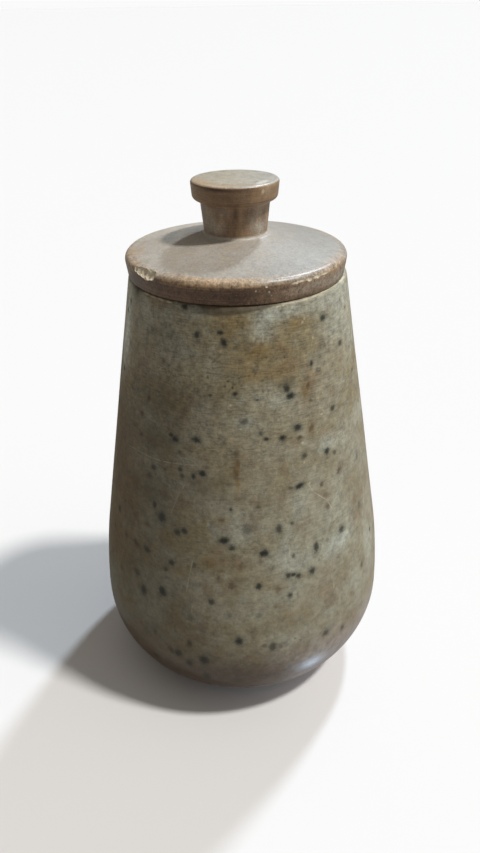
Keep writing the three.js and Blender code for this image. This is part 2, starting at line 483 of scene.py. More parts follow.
# %% Storing the clouds
def clouds(seen, points, surface, depth=12):
    """A number for each point: the sum of soft round clouds read in pixels, depth mm deep."""
    amount = np.zeros(len(points))
    for x, y, width, height, strength in seen:
        place, normal = seen_at(surface, x, y)
        along, up = around(normal)
        scale = (place - camera_place).length / FOCAL_PIXELS
        offset = points - np.array(place)
        u = offset @ np.array(along) / (width / 2 * scale / facing(place, normal))
        v = offset @ np.array(up) / (height / 2 * scale)
        below = offset @ np.array(normal) / (depth * MM)
        amount += strength * np.exp(-(u * u + v * v) * 0.7 - below * below)
    return amount


FLANK_RADIUS = 46  # mm from the axis to the middle of a seeded cloud


def far_clouds(count, seed):
    """The same on the jar's far side, seeded."""
    stock = random.Random(seed)
    amount = np.zeros(len(dark_marks.points))
    for _ in range(count):
        angle = math.radians(stock.uniform(NEAR_ANGLE, 360 - NEAR_ANGLE))
        out = np.array((math.sin(angle), -math.cos(angle)))
        place = np.array((*out * FLANK_RADIUS, stock.uniform(10, 150))) * MM
        reach = stock.uniform(2.5, 6) * MM
        offset = (dark_marks.points - place) * np.array((1, 1, stock.uniform(0.7, 1.8)))
        offset[:, :2] *= 0.55  # a cloud is wider than it is high
        amount += stock.uniform(0.3, 0.9) * np.exp(-(offset ** 2).sum(axis=1) / reach ** 2)
    return amount


def store_vectors(mesh, name, columns):
    """Keeps three numbers for each vertex, and prints the largest of each."""
    values = np.stack(columns, axis=1)
    keep(mesh, name, values)
    print(f"{name}, most of each: {values.max(axis=0).round(2)}")


near = dark_marks.points, pot_sight
store_vectors(pot.data, "clouds", [
    clouds(OCHRE, *near) + far_clouds(34, 11),
    clouds(BLUE_AND_SHEEN, *near) + far_clouds(24, 12),
    clouds(OLIVE, *near) + far_clouds(20, 13),
])

# %% [markdown]
# Use leaves scratches, scuffs and pale nicks. A scratch is a mark too, long and very thin, and its
# curve is laid as a row of straight strokes. A pale line under the lid's right edge is laid in the
# same way, as a painted highlight on the jar's rim. A few more scratches, seeded, go on the back.

# %% Scratches and a painted rim highlight: points in pixels, width in pixels, strength
SCRATCHES_AND_RIM_HIGHLIGHT = [
    ([(129, 444.8), (137, 449.8), (144, 454), (153, 458)], 1.3, 0.45),
    ([(153, 458), (162, 460.9), (172, 462.9), (184, 464.3), (199.5, 465.4)], 1.5, 0.6),
    ([(185.4, 484), (181, 490.5), (176, 500), (170.6, 514.8)], 1.2, 0.35),
    ([(193.5, 557), (189.5, 575), (186, 593)], 1.6, 0.45),
    ([(193.4, 603), (190.7, 614)], 1.6, 0.35),
    ([(307, 482), (313.7, 492), (327, 500), (333.7, 510.5)], 1.4, 0.75),
    ([(363.7, 530), (366.3, 543.5)], 1.6, 0.7),
    ([(289.6, 545), (290.3, 559.5)], 1.3, 0.6),
    ([(333.7, 583.5), (334, 589)], 1.8, 0.6),
    ([(255.4, 329), (254.4, 336), (253, 342.5)], 3.4, 0.5),
    ([(258.8, 339.5), (258.4, 343.5)], 3, 0.4),
    ([(263.4, 336), (263, 343.5)], 2.6, 0.4),
    ([(268.4, 334), (268.6, 343)], 2.4, 0.35),
    ([(305.4, 317), (303.4, 320), (302, 324)], 4, 0.5),
    ([(204, 366.6), (217.5, 366.8)], 1.2, 0.5),
    ([(207, 449.8), (220, 449.2)], 1.2, 0.4),
    ([(214, 404), (226, 402.5)], 1.2, 0.3),
    ([(144, 292.6), (150, 295.6), (157, 298.4), (165, 301), (173, 303)], 2.4, 1),
    # The last three rows are a pale line under the lid's right edge: a painted highlight on the jar's
    # rim
    ([(300, 301.4), (310, 298), (320, 293.6)], 2, 0.7),
    ([(320, 293.6), (330, 288.2), (338, 282.8)], 3, 0.9),
    ([(338, 282.8), (345, 275.6)], 3.4, 0.9),
]
NICKS = [
    (277.7, 306.6, 4, 2, 1), (283.1, 305.3, 3.4, 1.8, 0.9, 8), (321.7, 414.1, 3.4, 2, 1),
    (302.6, 442.6, 3.6, 3, 0.9), (304.5, 462.3, 2.6, 2.6, 0.8), (312.8, 337.4, 2.4, 3, 0.6),
    (343, 308, 3, 3, 0.5), (230.6, 405.4, 3, 4, 0.7), (240.8, 429.2, 4, 2.2, 0.8),
    (219.8, 432.4, 4.6, 3, 0.45), (320.4, 557.5, 2, 2.4, 0.7), (309.7, 482.8, 2.2, 2, 0.9),
    (248, 363.5, 2, 2, 0.5), (243, 393, 2, 2, 0.5), (205.3, 361, 3, 1.6, 0.4),
]


# %% Laying the scratches and the painted rim highlight
OVERLAP = 1.1  # each stroke is this much longer than the gap that it spans


def scratch(marks, seen, surface):
    """Lays each scratch as straight strokes between places on the surface."""
    missed = 0
    for pixels, width, strength in seen:
        hits = [seen_at(surface, *pixel) for pixel in pixels]
        for start, end in zip(hits, hits[1:]):
            middle = (start[0] + end[0]) / 2
            normal = (start[1] + end[1]).normalized()
            along, up = around(normal)
            run = end[0] - start[0]
            tilt = math.degrees(math.atan2(run.dot(up), run.dot(along)))
            thick = width / 2 * (middle - camera_place).length / FOCAL_PIXELS / MM
            long = run.length / 2 / MM * OVERLAP
            missed += not marks.add(middle, normal, long, thick, strength, tilt)
    return missed


pale_marks = Marks(pot, "pale", 5)
missed_pale = scratch(pale_marks, SCRATCHES_AND_RIM_HIGHLIGHT, pot_sight) + lay(pale_marks, NICKS, pot_sight)
FAR_SCRATCHES = 26
for _ in range(FAR_SCRATCHES):
    place, normal = far_place(12, 150)
    length, strength = chance.uniform(0.5, 5), chance.uniform(0.4, 0.8)
    pale_marks.add(place, normal, length, 0.22, strength, chance.uniform(-80, 80))
print("pale marks missed:", missed_pale)
pale_marks.store()

# %% [markdown]
# The lid. Below its disc a register drops 5 mm into the mouth, with 0.6 mm of play all round, so the
# lid sits where it was put down: here half a millimetre to the left and forward. The disc has a soft
# edge, a low dome and a fillet into the neck. The knob's cap stands out over the neck as a grip, and
# its top rises by half a millimetre to the middle.

# %% Lid
REGISTER_RADIUS = 28.9
REGISTER_DEPTH = 5
LID_RADIUS = 37
LID_TAPER = 1.1
LID_EDGE = 7.2
DOME_BEND = 10.2  # height of the soft bend half way up the dome
DOME_TOP = 12.6
NECK_FOOT = 10.3
NECK_TOP = (11.3, 22.8)  # radius and height
CAP_EDGE = 24.1
CAP_TOP = 29.7
CAP_RADIUS = 14.3
CAP_CROWN = 0.45
LID_STEPS = 384
LID_SHIFT = Vector((-0.44, -0.3, 0))

lid_shape = bmesh.new()
chain(lid_shape, [
    (0, -REGISTER_DEPTH),
    (REGISTER_RADIUS, -REGISTER_DEPTH, 1, 4),
    (REGISTER_RADIUS, 0),
    (LID_RADIUS - 3, 0),
], row=5)
chain(lid_shape, [
    (LID_RADIUS - 3, 0),
    (LID_RADIUS - LID_TAPER, 0, 0.7, 3),
    (LID_RADIUS, LID_EDGE, 1.9, 8),
    ((LID_RADIUS + NECK_FOOT) / 2, DOME_BEND, 10, 10),
    (NECK_FOOT, DOME_TOP, 1.2, 6),
    (*NECK_TOP, 0.6, 4),
    (CAP_RADIUS - 0.5, CAP_EDGE, 0.8, 4),
    (CAP_RADIUS, CAP_TOP, 1, 7),
    (CAP_RADIUS - 5, CAP_TOP + 0.3, 3, 6),
    (0, CAP_TOP + CAP_CROWN),
], row=0.7)
turn(lid_shape, LID_STEPS)
seat = (LID_SHIFT + Vector((0, 0, RIM_HEIGHT))) * MM
bmesh.ops.translate(lid_shape, vec=seat, verts=lid_shape.verts)
uneven(lid_shape, 0.12, 18, 7.7)
lid_sight = BVHTree.FromBMesh(lid_shape)

# %% [markdown]
# The lid's edge has been knocked, and soapstone breaks with a shallow, rough scoop. The mesh is made
# finer there. Each bite is a ball that stands half outside the stone: the vertices inside it are
# pushed to its surface, with noise on its radius, and remember that they are fresh stone.

# %% Chip and nicks: x, y in pixels, half-width and depth in mm
CHIP = [
    (136.4, 269, 1.3, 0.45), (139.6, 270.6, 1.9, 0.8), (143.2, 272.6, 2.3, 1.15),
    (147, 274.4, 2.5, 1.3), (150.4, 275, 2.1, 1.15), (152.8, 274, 1.2, 1.1), (149, 271.4, 1.6, 0.7),
    (144.6, 276.4, 1.4, 0.5), (149.4, 277.6, 1.1, 0.4),
]
EDGE_NICKS = [
    (266.7, 286.6, 0.25, 0.08), (255.9, 291.1, 0.3, 0.1), (269.4, 291.9, 0.3, 0.1),
    (298, 282.4, 0.6, 0.16), (310, 279.6, 0.7, 0.2), (318, 276.8, 0.6, 0.15),
]
FINER = 0.8  # the mesh is made finer this many mm past a bite
ROUGHNESS = ((1.1, 0.18), (0.35, 0.06))  # size and depth of the noise on a bite, in mm


# %% Biting pieces out of the lid
FRESH_RISE = 12  # a vertex pushed in by a twelfth of a mm is all fresh stone


def bite(shape, fresh, x, y, half_width, depth):
    """Pushes the vertices inside a rough ball out to its surface."""
    place, normal = seen_at(lid_sight, x, y)
    radius = (half_width ** 2 + depth ** 2) / (2 * depth)
    ball = place + normal * (radius - depth) * MM
    moved = 0
    for vert in shape.verts:
        offset = vert.co - ball
        away = offset.length / MM
        if away > radius * 1.2:
            continue
        rough = radius
        for size, depth_of_noise in ROUGHNESS:
            rough += noise.noise(vert.co / (size * MM)) * depth_of_noise
        if away < rough:
            vert.co = ball + offset * (rough / away)
            vert[fresh] = min(1, vert[fresh] + (rough - away) * FRESH_RISE)
            moved += 1
    return moved


def refine(shape, bites, cuts):
    """Makes the mesh finer round bites."""
    near_bites = set()
    for x, y, width, _ in bites:
        place, _ = seen_at(lid_sight, x, y)
        reach = (width + FINER) * MM
        near_bites.update(v for v in shape.verts if (v.co - place).length < reach)
    edges = [e for e in shape.edges if e.verts[0] in near_bites and e.verts[1] in near_bites]
    bmesh.ops.subdivide_edges(shape, edges=edges, cuts=cuts, use_grid_fill=True)


refine(lid_shape, CHIP, 3)
refine(lid_shape, EDGE_NICKS, 2)
fresh = lid_shape.verts.layers.float.new("fresh")
bitten = [bite(lid_shape, fresh, *b) for b in CHIP + EDGE_NICKS]
print("vertices moved by each bite:", bitten)
lid = finished(lid_shape, "stone_lid", "lid", "lid")

# %% [markdown]
# Wear on the lid is stored as on the jar. A pale line of rubbed stone runs along the edge on the
# right. The last spot is a painted highlight on the cap's top. Tan, dust and umber are soft stain
# clouds, and some of them are painted light and shade: tan and dust where light falls on the right of
# the band, neck and rim, dust in the knob's shadow on the dome, and a thin umber line of painted shade
# under the cap's band.

# %% Wear, stain clouds, painted light and shade, and a painted highlight on the lid
RUBBED = [
    ([(291, 284.6), (298, 281.9)], 2.4, 0.8), ([(298, 281.9), (305, 280.3)], 2.8, 0.95),
    ([(306, 280.2), (313, 278.4)], 3.2, 1), ([(313, 278.4), (320.6, 275.2)], 2.8, 1),
    ([(321, 275.2), (328, 272.4)], 2, 0.8),
]
# Rubbed pale spots; the last one is a painted highlight on the cap's top
RUBBED_SPOTS_AND_CAP_HIGHLIGHT = [
    (266.7, 286.6, 1.6, 2.6, 0.6), (255.9, 291.1, 2.2, 2.4, 0.55), (269.4, 291.9, 1.8, 3.4, 0.45),
    (271.6, 295.6, 2, 2, 0.5), (263, 191.6, 3.4, 6, 0.5), (226, 188, 2, 2, 0.4),
    (132, 268.4, 4, 1.6, 0.5, -30), (262, 182.2, 19, 7.5, 0.36, 14),
]
# Tan stain clouds; the two on the band's right, at x 260 and 267, and the one on the neck's right, at x
# 247, are painted light
TAN = [
    (199, 181, 16, 10, 0.6), (212, 184, 30, 8, 0.5), (238, 185, 34, 6, 0.45), (131, 253, 9, 16, 0.6),
    (135, 263, 9, 9, 0.5), (143, 246, 14, 6, 0.35), (128, 268, 6, 8, 0.5), (343, 262, 7, 20, 0.35),
    (335, 269, 12, 12, 0.6), (322, 277, 16, 8, 0.5), (304, 285, 20, 7, 0.35), (267, 190, 7, 9, 0.9),
    (260, 193, 8, 9, 0.5), (232, 196, 50, 5, 0.3), (247, 227, 10, 12, 0.3), (196, 194, 6, 9, 0.25),
    (165, 280, 14, 6, 0.6), (185, 285, 20, 6, 0.5), (207, 287, 20, 6, 0.4),
]
# Pale dust clouds. Those on the right of the neck, band and rim are partly painted light, and the two
# at x 180 and 190, in the knob's shadow on the dome, are painted light
PALE_DUST_AND_LIGHT = [
    (190, 230, 30, 8, 0.4), (209, 222, 10, 28, 0.7), (260, 228, 12, 12, 1), (218, 229, 14, 10, 0.6),
    (300, 290, 26, 8, 0.35), (222, 212, 12, 12, 0.35), (258, 212, 10, 14, 0.35),
    (180, 234, 34, 10, 0.5), (335, 277, 18, 10, 0.45), (344, 268, 6, 12, 0.2), (252, 221, 10, 8, 0.3),
    (268, 189, 5, 7, 0.4), (318, 283, 18, 8, 0.45), (340, 274, 12, 10, 0.2),
]
# Umber stain clouds; the thin line at y 206, under the cap's band, is painted shade
UMBER = [
    (225, 198, 44, 9, 0.45), (235.5, 215, 6, 18, 0.8), (230, 232, 10, 10, 0.4), (225, 206, 34, 3, 0.5),
    (236, 298, 30, 9, 0.5), (232, 191, 42, 2.6, 0.8), (243, 290, 24, 5, 0.6), (178, 292, 40, 4, 0.4),
    (209, 190, 22, 2.8, 0.9), (228, 298, 60, 8, 0.3),
]

# %% Storing the wear, the painted highlight, the stain clouds and the painted light
wear_and_highlight_marks = Marks(lid, "wear_and_highlight", 4)
missed = scratch(wear_and_highlight_marks, RUBBED, lid_sight) + lay(wear_and_highlight_marks, RUBBED_SPOTS_AND_CAP_HIGHLIGHT, lid_sight)
print("worn marks missed:", missed)
wear_and_highlight_marks.store()
near = wear_and_highlight_marks.points, lid_sight, 4
store_vectors(lid.data, "stains_and_light", [clouds(TAN, *near), clouds(PALE_DUST_AND_LIGHT, *near), clouds(UMBER, *near)])

# %% [markdown]
# Materials are written as sums. A Wire is one output of a node, and adding or multiplying wires adds
# the Math nodes for it. Colours go through Mix, places through Vector Math, and every other node comes
# from one method.


# %% Wires between nodes
class Wire:
    """One output of a node. Sums on wires add Math nodes to the material."""

    def __init__(self, tree, socket=None):
        self.tree = tree
        self.socket = socket

    def node(self, kind, settings=None, inputs=None, output=0):
        """Adds a node: its settings first, then its sockets. Gives one of its outputs."""
        made = self.tree.nodes.new(kind)
        for name, value in (settings or {}).items():
            setattr(made, name, value)
        for name, value in (inputs or {}).items():
            if isinstance(value, Wire):
                self.tree.links.new(value.socket, made.inputs[name])
            else:
                made.inputs[name].default_value = value
        return Wire(self.tree, made.outputs[output])

    def out(self, output):
        """Another output of the same node."""
        return Wire(self.tree, self.socket.node.outputs[output])

    def math(self, operation, *values):
        inputs = dict(enumerate(values))
        return self.node("ShaderNodeMath", {"operation": operation}, inputs)

    def vector(self, operation, *values, output=0, scale=None):
        inputs = dict(enumerate(values))
        if scale is not None:
            inputs["Scale"] = scale
        return self.node("ShaderNodeVectorMath", {"operation": operation}, inputs, output)

    def length(self):
        return self.vector("LENGTH", self, output="Value")

    def __add__(self, other):
        return self.math("ADD", self, other)

    def __radd__(self, other):
        return self.math("ADD", other, self)

    def __sub__(self, other):
        return self.math("SUBTRACT", self, other)

    def __rsub__(self, other):
        return self.math("SUBTRACT", other, self)

    def __mul__(self, other):
        return self.math("MULTIPLY", self, other)

    def most(self, other):
        return self.math("MAXIMUM", self, other)

    def least(self, other):
        return self.math("MINIMUM", self, other)

    def clamp(self):
        return self.most(0.0).least(1.0)

    def step(self, low, high):
        """0 below low, 1 above high, and a smooth rise between. low may be the larger."""
        first, last = (1.0, 0.0) if low > high else (0.0, 1.0)
        inputs = {
            "Value": self, "From Min": min(low, high), "From Max": max(low, high),
            "To Min": first, "To Max": last,
        }
        return self.node("ShaderNodeMapRange", {"interpolation_type": "SMOOTHSTEP"}, inputs)

    def noise(self, size, detail=2.0, roughness=0.5, stretch=(1, 1, 1), seed=0.0):
        """Soft noise from 0 to 1 on a place in mm. size is in mm."""
        cells = tuple(1 / (size * s) for s in stretch)
        moved = self.vector("MULTIPLY_ADD", self, cells, (seed, seed, seed))
        inputs = {"Vector": moved, "Scale": 1.0, "Detail": detail, "Roughness": roughness}
        return self.node("ShaderNodeTexNoise", None, inputs)

    def mix(self, base, top):
        """Puts colour top over colour base by this wire, which is held between 0 and 1."""
        factor, a_colour, b_colour, colour_out = 0, 6, 7, 2  # the node has an A and a B of every kind
        settings = {"data_type": "RGBA", "clamp_factor": True}
        inputs = {factor: self, a_colour: base, b_colour: top}
        return self.node("ShaderNodeMix", settings, inputs, colour_out)

    def shaded(self, shade):
        """This colour times a number."""
        return self.vector("SCALE", self, scale=shade)

    def parts(self):
        """The three parts of this vector."""
        first = self.node("ShaderNodeSeparateXYZ", None, {0: self})
        return first, first.out("Y"), first.out("Z")

    def stored(self, name, output="Vector"):
        """What the vertices keep under a name."""
        return self.node("ShaderNodeAttribute", {"attribute_name": name}, output=output)

    def tell(self, step):
        print(f"{step}: {len(self.tree.nodes)} nodes so far")


# %% Colours, materials and stored marks
def colour(red, green, blue_and_sheen):
    """A colour from screen values (0 to 255) to the linear ones that a shader wants."""
    return (*[((v / 255 + 0.055) / 1.055) ** 2.4 for v in (red, green, blue_and_sheen)], 1.0)


def stone(name, piece):
    """A new material on a piece. Gives it, and wires of the place in mm and of that place's parts."""
    material = bpy.data.materials.new(name)
    material.use_nodes = True
    piece.data.materials.append(material)
    start = Wire(material.node_tree)
    place = start.node("ShaderNodeTexCoord", output="Object")
    mm = start.vector("SCALE", place, scale=1000.0)
    return material, mm, mm.parts()


def join(material, sockets):
    """Links wires to the surface shader's sockets, and sets plain values on them."""
    shader = material.node_tree.nodes["Principled BSDF"]
    for name, value in sockets.items():
        if isinstance(value, Wire):
            material.node_tree.links.new(value.socket, shader.inputs[name])
        else:
            shader.inputs[name].default_value = value
    print(f"{material.name}: {len(material.node_tree.nodes)} nodes")


def polish(material, tone, gloss, height, strength):
    """Joins colour, gloss and relief, of a height in mm, to a stone's surface."""
    inputs = {"Strength": strength, "Distance": MM, "Height": height}
    join(material, {
        "Base Color": tone, "Roughness": gloss.clamp(), "Specular IOR Level": 0.5, "IOR": 1.5,
        "Normal": height.node("ShaderNodeBump", None, inputs),
    })


def spots(mm, marks, wobble, size, core, edge):
    """How much of a mark is here, from the layers that it is stored in: (core, halo)."""
    ragged = mm.noise(size, 3, 0.6).out("Color")
    shift = mm.vector("MULTIPLY_ADD", ragged, (wobble, wobble, 0), (-wobble / 2, -wobble / 2, 0))
    full = soft = None
    for layer in range(len(marks.layers)):
        stored = mm.stored(f"{marks.name}_{layer}")
        strength = stored.parts()[2]
        far = mm.vector("MULTIPLY", mm.vector("ADD", stored, shift), (1, 1, 0)).length()
        here = far.step(edge, core) * strength
        halo = far.step(2.3, 0.4) * strength
        full = here if full is None else full.most(here)
        soft = halo if soft is None else soft.most(halo)
    return full, soft


# %% [markdown]
# Mottled stone. Soapstone has no grain direction, so its colour is soft noise of many sizes, from a
# walnut down to a grain of sand. A step gives the two places in mm (or angles in radians) between
# which a tone comes in. Over the noise go the stored clouds, a brown foot, and painted light and
# shade: a warm, dark left flank of painted shade, which fades out on the far side, a darker right
# edge, a pale strip of painted sheen at the left flank's top, and a foot lightened by painted light,
# with a cool painted reflection low on it. Then come rings of sanding, a painted shadow under the
# lid's edge, flecks with a halo, and scratches, with a painted highlight on the rim among them.

# %% Mottled stone: its colours
GREY = colour(155, 151, 132)
OLIVE_GREY = colour(138, 127, 98)
WARM = colour(124, 105, 80)
OCHRE_COLOUR = colour(132, 110, 68)
BLUE_COLOUR = colour(178, 181, 168)
OLIVE_DARK = colour(82, 73, 50)
FOOT_BROWN = colour(92, 74, 68)
FOOT_PINK = colour(172, 160, 158)
FLECK_COLOUR = colour(26, 28, 24)
FLECK_BROWN = colour(78, 54, 36)
HALO_COLOUR = colour(86, 88, 72)
PALE_COLOUR = colour(200, 192, 164)
HOLLOW_COLOUR = colour(164, 158, 142)
# the colour of the painted shade on the left flank
LEFT_SHADE_COLOUR = colour(136, 111, 74)
# the colour of a painted reflection low on the foot
FOOT_REFLECTION_COLOUR = colour(176, 172, 176)

# %% Mottled stone: noise, clouds and foot
body_stone, mm, (x, y, z) = stone("mottled_stone_look", pot)
big = mm.noise(24, 3, 0.55, seed=2.2)
middle = mm.noise(9, 3, 0.6, seed=5.1)
blotch = mm.noise(4.4, 4, 0.7, seed=12.6)
small = mm.noise(2.6, 4, 0.65, seed=9.4)
grit = mm.noise(1.4, 3, 0.7, seed=15.2)
fine = mm.noise(0.8, 3, 0.7, seed=2.7)
rings = mm.noise(0.42, 3, 0.65, stretch=(8, 8, 1), seed=1.3)

tone = big.step(0.38, 0.64).mix(GREY, OLIVE_GREY)
tone = (middle.step(0.48, 0.7) * 0.65).mix(tone, WARM)
tone = (blotch.step(0.54, 0.7) * 0.4).mix(tone, OLIVE_DARK)
tone = (blotch.step(0.46, 0.32) * 0.35).mix(tone, BLUE_COLOUR)
ochre, blue_and_sheen, olive = mm.stored("clouds").parts()
break_up = small * 0.9 + fine * 0.8 + 0.15
# Bluish clouds, and the painted sheen strip on the left outline
tone = (blue_and_sheen * break_up).mix(tone, BLUE_COLOUR)
tone = (olive * break_up).mix(tone, OLIVE_DARK)
tone = (ochre * break_up * 0.85).mix(tone, OCHRE_COLOUR)
foot_tone = x.step(0, 32).mix(FOOT_BROWN, FOOT_PINK)
foot = (z + (middle - 0.5) * 16).step(44, 18)
tone = (foot * 0.85).mix(tone, foot_tone)
mm.tell("noise, clouds and foot")

# %% Mottled stone: painted light and shade
side_angle = mm.math("ARCTAN2", x, y * -1)
seen_left = side_angle.step(-1.75, -1.15)
# Painted shade: the left flank, away from the lights, warmer and darker, fading out on the far side
tone = (x.step(-26, -48) * z.step(130, 114) * z.step(36, 104) * seen_left * 0.9).mix(tone, LEFT_SHADE_COLOUR)
# Painted shade: a darker, warmer strip near the right outline
tone = (x.step(34, 52) * z.step(132, 118) * z.step(62, 80) * 0.4).mix(tone, WARM)
# Painted shade: how much darker the left flank is; it is made rougher there too
left_flank_shade = x.step(6, -50) * z.step(140, 122) * z.step(24, 50) * (seen_left * 0.8 + 0.2)
# Painted reflection: a pale cool tone at the bottom of the foot, except on the left
tone = (z.step(18, 4) * x.step(-30, 0) * 0.6).mix(tone, FOOT_REFLECTION_COLOUR)
lit_foot = z.step(22, 5) * (0.7 + x.step(-10, 26) * 0.7) + z.step(9, 2) * 0.3
# Painted sheen: a pale strip near the outline at the top of the left flank
sheen = x.step(-33, -39) * z.step(116, 130) * side_angle.step(-1.6, -1.3)
# Painted light: a little lighter low on the left flank, within its painted shade
low_left = x.step(-36, -47) * z.step(34, 50) * z.step(92, 72) * seen_left
tone = tone.shaded(1 - left_flank_shade * 0.35 + lit_foot + sheen * 0.34 + low_left * 0.11)
mm.tell("light and handling")

# %% Mottled stone: clouding and rings of sanding
ring_strength = z.step(30, 90)
upper = z.step(100, 132)
in_middle = 1 - x.step(4, 28) * 0.4 - x.step(-22, -44) * 0.4
grain = ((grit - 0.5) * 0.9 + (fine - 0.5) * 0.75) * (z.step(20, 140) * 0.55 + 0.65) * in_middle
shade = (small - 0.5) * (1.15 + upper * 0.3) + (blotch - 0.5) * 0.85 + grain * (1 + upper * 0.15) + 1
tone = tone.shaded(shade + (rings - 0.5) * ring_strength * (0.75 + upper * 0.55))
mm.tell("clouding and rings")

# %% Mottled stone: painted shadow under the lid's edge
SHADOW_BAND_DEPTH = 2.3  # mm below the rim, at the front,
SHADOW_BAND_DEEPEST = 2.8  # and on the left
SHADOW_BAND_SLANT = 5.2  # it thins out to the right by this many mm for each radian round the pot
SHADOW_BAND_COLOUR = colour(82, 70, 56)
# Painted shadow: a dark band under the lid's edge stands for the lid's cast shadow on the jar, deepest
# on the left and thinning out to the right, and the rim's corner just under the lid is painted a little
# darker too
below_rim = RIM_HEIGHT - z
shadow_band_depth = (SHADOW_BAND_DEPTH - side_angle * SHADOW_BAND_SLANT).least(SHADOW_BAND_DEEPEST) + (small - 0.5)
painted_lid_shadow = (shadow_band_depth - below_rim).step(-0.3, 0.6) * side_angle.step(-0.7, -0.2)
shaded_rim_corner = below_rim.step(1.4, 0.5) * side_angle.step(-0.8, -0.5) * side_angle.step(0.42, 0.26)
tone = (painted_lid_shadow * 0.62).mix(tone, SHADOW_BAND_COLOUR).shaded(1 - painted_lid_shadow * 0.2 - shaded_rim_corner * 0.1)
mm.tell("painted_lid_shadow")

# %% Mottled stone: flecks, scratches and a painted rim highlight
dark, dark_halo = spots(mm, dark_marks, 1.1, 0.8, 0.3, 1.35)
brown, brown_halo = spots(mm, brown_marks, 1.3, 1.0, 0.2, 1.4)
pale, _ = spots(mm, pale_marks, 0.7, 0.5, 0.4, 1.1)
specks = mm.node("ShaderNodeTexVoronoi", None, {"Vector": mm, "Scale": 0.42, "Randomness": 1.0})
speck_size = mm.noise(5, 1, 0.5, seed=7.7).step(0.5, 0.8) * 0.34 + 0.02
speck = (speck_size - specks).step(0.0, 0.2) * 0.4

tone = (brown_halo * 0.4).mix(tone, FLECK_BROWN)
tone = (brown * 0.75).mix(tone, FLECK_BROWN)
tone = (dark_halo * 0.5).mix(tone, HALO_COLOUR)
tone = speck.mix(tone, OLIVE_DARK)
tone = (dark * 0.97).mix(tone, FLECK_COLOUR)
# Pale scratches and nicks, and the painted highlight on the jar's rim under the lid's right edge
scuffs_and_rim_highlight = (pale * (fine * 1.3 + 0.3)).clamp()
tone = (scuffs_and_rim_highlight * 0.85).mix(tone, PALE_COLOUR)
mm.tell("flecks and scratches")

# %% [markdown]
# Inside, a hollowing tool leaves a paler, rougher stone that no hand rubs. The hollow is told from
# the outside by the way its faces look, towards the axis, and that is stored on the vertices.

# %% Mottled stone: the hollow, gloss and relief
points = dark_marks.points
normals = dark_marks.normals
radii = np.hypot(points[:, 0], points[:, 1])
inwards = (points[:, :2] * normals[:, :2]).sum(axis=1) < -0.2 * radii
on_floor = (normals[:, 2] > 0.5) & (radii < MOUTH_RADIUS * MM)
hollow = (inwards | on_floor).astype(np.float32)
made = pot.data.attributes.new("hollow", "FLOAT", "POINT")
made.data.foreach_set("value", hollow)
print(f"hollow: {int(hollow.sum())} of {len(hollow)} vertices")

in_hollow = mm.stored("hollow", "Fac")
tool_rings = mm.noise(0.9, 2, 0.6, stretch=(30, 30, 1), seed=3.3)
hollow_tone = (small * 0.6 + tool_rings * 0.4).mix(HOLLOW_COLOUR, WARM)
tone = in_hollow.mix(tone, hollow_tone)
gloss = 0.34 + (fine - 0.5) * 0.16 + (small - 0.5) * 0.2 + scuffs_and_rim_highlight * 0.22 + z.step(25, 70) * 0.14
gloss = gloss + (in_hollow * 0.3).most(shaded_rim_corner * 0.5) + left_flank_shade * x.step(-20, -44) * 0.25
height = rings * ring_strength * 0.05 + fine * 0.035 + small * 0.05 - scuffs_and_rim_highlight * 0.05 - dark * 0.04
height = height + tool_rings * in_hollow * 0.25
polish(body_stone, tone, gloss, height, strength=0.55)

# %% [markdown]
# Brown stone. The lid's upward faces have been rubbed and dusted pale, while its sides, which hands
# hold, have gone dark brown. So the colour follows the shape: pale on dome and cap top, ochre where
# the edge rounds over, brown on the sides. The cutter's lines run round it, and fine streaks run over
# the rounded edge.

# %% Brown stone: where things are
ROUNDED_EDGE = (35.7, 7.1)  # radius and height of the middle of the disc's rounded edge
DOME_EDGE = 12.9  # here the dome's pale top gives way to the neck
BAND_FOOT = 23  # height where the cap's band begins
CAP_EDGE_ROUND = 29.1  # and where the cap's side turns into its top
lid_stone, mm, (x, y, z) = stone("brown_stone_look", lid)
flat = mm.node("ShaderNodeCombineXYZ", None, {0: x - LID_SHIFT.x, 1: y - LID_SHIFT.y})
radius = flat.length()
level = z - RIM_HEIGHT
turned_place = mm.node("ShaderNodeCombineXYZ", None, {0: radius, 1: level})
outward = mm.vector("SCALE", mm.vector("NORMALIZE", flat), scale=LID_RADIUS)
lines = turned_place.noise(0.3, 3, 0.7)
streaks = outward.noise(0.4, 3, 0.7)
middle = mm.noise(7, 3, 0.6, seed=1.1)
small = mm.noise(2.2, 4, 0.65, seed=4.4)
fine = mm.noise(0.6, 3, 0.7, seed=6.6)
mm.tell("noise")

# %% Brown stone: its colours
DUST = colour(168, 162, 153)
DUST_WARM = colour(163, 154, 141)
CAP_DUST = colour(172, 164, 146)
CAP_COOL = colour(174, 171, 162)
CAP_WORN = colour(138, 132, 118)
# cooler dust on the dome's right, partly painted sheen
COOL_DUST_AND_SHEEN = colour(158, 156, 150)
# the pale colour of dust and of painted light
DUST_AND_LIGHT_COLOUR = colour(182, 174, 160)
EDGE_TAN = colour(170, 139, 104)
EDGE_PALE = colour(190, 168, 138)
SIDE_BROWN = colour(124, 98, 76)
SIDE_DARK = colour(88, 66, 53)
SIDE_PALE = colour(140, 116, 92)
KNOB_BROWN = colour(160, 131, 99)
KNOB_DARK = colour(124, 99, 78)
UMBER_COLOUR = colour(74, 50, 38)
CREAM = colour(224, 215, 190)
# the colour of the painted highlight on the cap
CAP_HIGHLIGHT_COLOUR = colour(226, 229, 228)
FRESH = colour(231, 222, 199)

